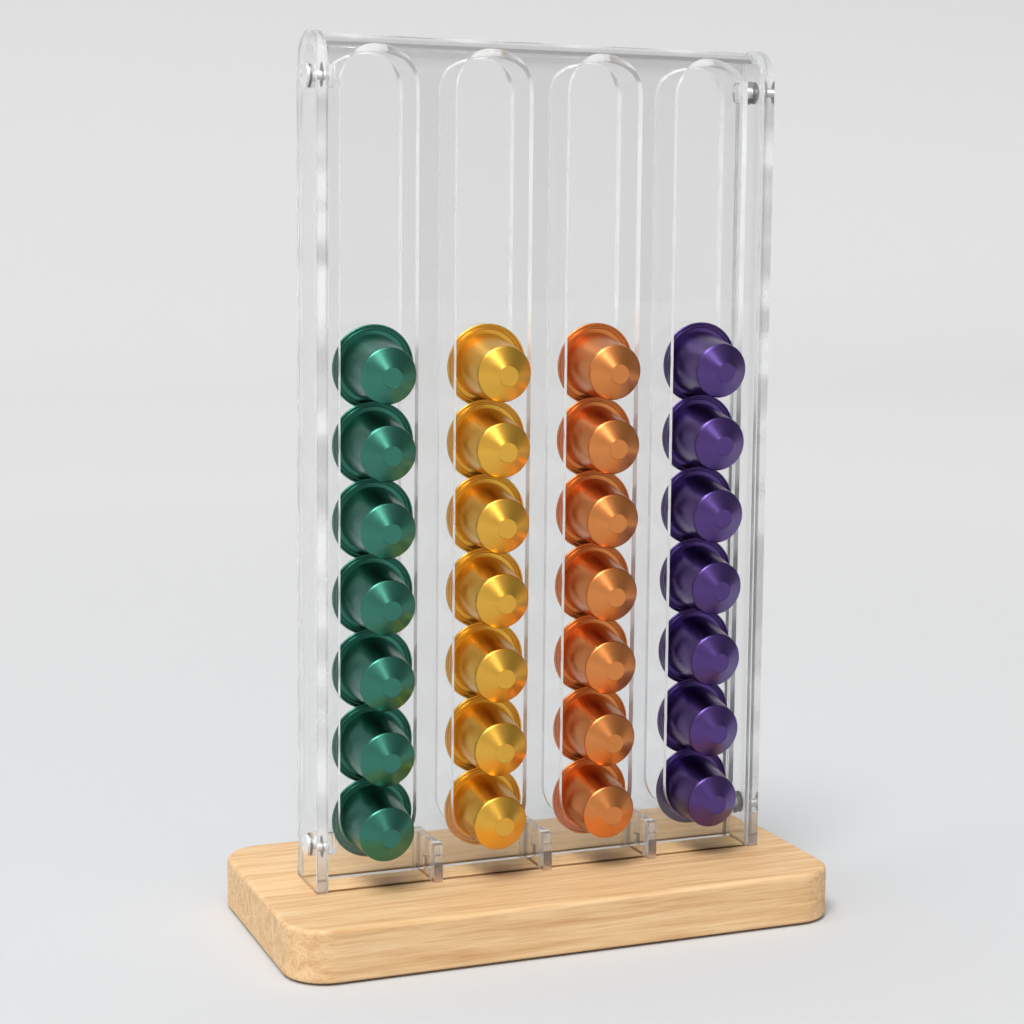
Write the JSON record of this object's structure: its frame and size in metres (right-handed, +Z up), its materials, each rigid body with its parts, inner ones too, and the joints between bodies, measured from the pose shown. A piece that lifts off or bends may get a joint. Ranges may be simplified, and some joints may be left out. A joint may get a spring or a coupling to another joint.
{
  "type": "capsule holder",
  "caption": "Clear two-sided rack on a wooden base, with long slots in which coffee capsules hang by their rims in slanting stacks.",
  "frame": {"origin": "on the table, under the middle of the wooden base", "axes": "+Z up; +X to the right along the row of slots, seen from the loaded side; the loaded side faces -Y"},
  "size_m": [0.255, 0.13, 0.3923],
  "materials": {
    "clear_acrylic": "polished clear sheet with flame polished edges",
    "light_oak": "oiled light oak with straight grain",
    "polished_metal": "bright polished domed socket screws",
    "pad_rubber": "matt grey pads",
    "green_aluminium": "satin anodised, teal green",
    "gold_aluminium": "satin anodised, pale gold",
    "copper_aluminium": "satin anodised, copper orange",
    "purple_aluminium": "satin anodised, purple",
    "plain_foil": "plain satin foil"
  },
  "bodies": {
    "rack": {"wood_base": "light_oak", "base_pads": "pad_rubber", "slotted_sheet": "clear_acrylic", "middle_panel": "clear_acrylic", "side_panel_left": "clear_acrylic", "side_screw_lower_left": "polished_metal", "edge_boss_lower_left": "clear_acrylic", "side_screw_upper_left": "polished_metal", "edge_boss_upper_left": "clear_acrylic", "side_panel_right": "clear_acrylic", "side_screw_lower_right": "polished_metal", "edge_boss_lower_right": "clear_acrylic", "side_screw_upper_right": "polished_metal", "edge_boss_upper_right": "clear_acrylic", "cross_rib_1": "clear_acrylic", "cross_rib_2": "clear_acrylic", "cross_rib_3": "clear_acrylic"},
    "stack_1": {"capsule_1_1": "green_aluminium", "capsule_1_2": "green_aluminium", "capsule_1_3": "green_aluminium", "capsule_1_4": "green_aluminium", "capsule_1_5": "green_aluminium", "capsule_1_6": "green_aluminium", "foil_lids_1": "plain_foil"},
    "top_capsule_1": {"capsule_1_7": "green_aluminium", "foil_lid_top_1": "plain_foil"},
    "stack_2": {"capsule_2_1": "gold_aluminium", "capsule_2_2": "gold_aluminium", "capsule_2_3": "gold_aluminium", "capsule_2_4": "gold_aluminium", "capsule_2_5": "gold_aluminium", "capsule_2_6": "gold_aluminium", "foil_lids_2": "plain_foil"},
    "top_capsule_2": {"capsule_2_7": "gold_aluminium", "foil_lid_top_2": "plain_foil"},
    "stack_3": {"capsule_3_1": "copper_aluminium", "capsule_3_2": "copper_aluminium", "capsule_3_3": "copper_aluminium", "capsule_3_4": "copper_aluminium", "capsule_3_5": "copper_aluminium", "capsule_3_6": "copper_aluminium", "foil_lids_3": "plain_foil"},
    "top_capsule_3": {"capsule_3_7": "copper_aluminium", "foil_lid_top_3": "plain_foil"},
    "stack_4": {"capsule_4_1": "purple_aluminium", "capsule_4_2": "purple_aluminium", "capsule_4_3": "purple_aluminium", "capsule_4_4": "purple_aluminium", "capsule_4_5": "purple_aluminium", "capsule_4_6": "purple_aluminium", "foil_lids_4": "plain_foil"},
    "top_capsule_4": {"capsule_4_7": "purple_aluminium", "foil_lid_top_4": "plain_foil"}
  },
  "joints": [
    {"name": "stack_1_slide", "type": "slide", "parent": "rack", "child": "stack_1", "axis": [0, 0, 1], "range_m": [0, 0.034]},
    {"name": "top_capsule_1_slide", "type": "slide", "parent": "stack_1", "child": "top_capsule_1", "axis": [0, 0, 1], "range_m": [0, 0.074]},
    {"name": "stack_2_slide", "type": "slide", "parent": "rack", "child": "stack_2", "axis": [0, 0, 1], "range_m": [0, 0.034]},
    {"name": "top_capsule_2_slide", "type": "slide", "parent": "stack_2", "child": "top_capsule_2", "axis": [0, 0, 1], "range_m": [0, 0.074]},
    {"name": "stack_3_slide", "type": "slide", "parent": "rack", "child": "stack_3", "axis": [0, 0, 1], "range_m": [0, 0.034]},
    {"name": "top_capsule_3_slide", "type": "slide", "parent": "stack_3", "child": "top_capsule_3", "axis": [0, 0, 1], "range_m": [0, 0.074]},
    {"name": "stack_4_slide", "type": "slide", "parent": "rack", "child": "stack_4", "axis": [0, 0, 1], "range_m": [0, 0.034]},
    {"name": "top_capsule_4_slide", "type": "slide", "parent": "stack_4", "child": "top_capsule_4", "axis": [0, 0, 1], "range_m": [0, 0.074]}
  ]
}
